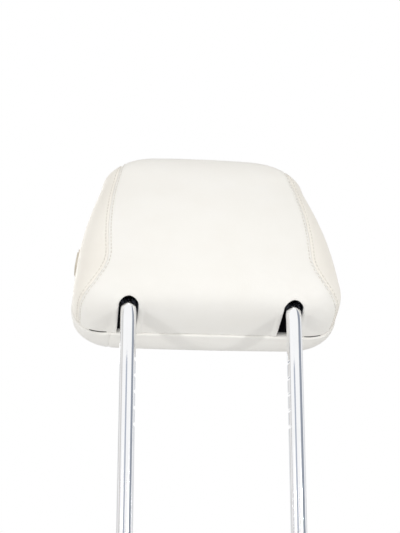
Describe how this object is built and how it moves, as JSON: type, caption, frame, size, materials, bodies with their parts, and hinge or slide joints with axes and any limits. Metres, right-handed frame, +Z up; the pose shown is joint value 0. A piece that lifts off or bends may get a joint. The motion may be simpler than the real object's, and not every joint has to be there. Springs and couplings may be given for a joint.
{
  "type": "vehicle head restraint",
  "caption": "Leather-covered vehicle head restraint pad that tilts forward on a bent chrome post frame, with a side release button.",
  "frame": {"origin": "midway between the axes of the two posts, level with their lower tips", "axes": "+Z up along the posts, +Y forward towards the head, +X to the right as seen from behind"},
  "size_m": [0.2486, 0.1272, 0.3922],
  "materials": {
    "chrome": "polished chrome",
    "cream_leather": "fine grained, satin",
    "foam": "open foam",
    "black_plastic": "moulded, matt",
    "bearing_plastic": "plain",
    "plain_steel": "plain",
    "cream_plastic": "satin"
  },
  "bodies": {
    "posts": {"post_frame": "chrome", "ratchet_sector": "plain_steel"},
    "pad": {"rear_cover": "cream_leather", "left_gusset": "cream_leather", "right_gusset": "cream_leather", "rear_foam": "foam", "rear_edge_strip": "black_plastic", "rear_shell": "black_plastic", "left_slot_liner": "black_plastic", "right_slot_liner": "black_plastic", "front_cover_centre": "cream_leather", "front_cover_left": "cream_leather", "front_cover_right": "cream_leather", "front_edge_strip": "black_plastic", "front_plate": "black_plastic", "front_foam": "foam", "carrier_rear": "black_plastic", "carrier_front": "black_plastic", "left_bush": "bearing_plastic", "right_bush": "bearing_plastic", "carrier_screws": "plain_steel", "plate_screws": "plain_steel", "pawl_pin": "plain_steel", "pawl_spring": "plain_steel", "button_bezel": "cream_plastic", "button_spring": "plain_steel"},
    "button": {"release_button": "cream_plastic", "push_rod": "plain_steel"},
    "pawl": {"ratchet_pawl": "plain_steel"}
  },
  "joints": [
    {"name": "head_tilt", "type": "hinge", "parent": "posts", "child": "pad", "pos_m": [0, 0.04728, 0.26194], "axis": [-1, 0, 0], "range_deg": [0, 28]},
    {"name": "button_press", "type": "slide", "parent": "pad", "child": "button", "axis": [1, 0, 0], "range_m": [0, 0.0035], "stiffness_N_per_m": 600, "springref_m": -0.002, "deforming": ["button_spring"]},
    {"name": "pawl_lift", "type": "hinge", "parent": "pad", "child": "pawl", "pos_m": [-0.0115, 0.04281, 0.28936], "axis": [1, 0, 0], "range_deg": [0, 7.2], "deforming": ["pawl_spring"]}
  ],
  "couplings": [
    {"joint": "pawl_lift", "follows": "button_press", "rad_per_m": 34.907}
  ]
}
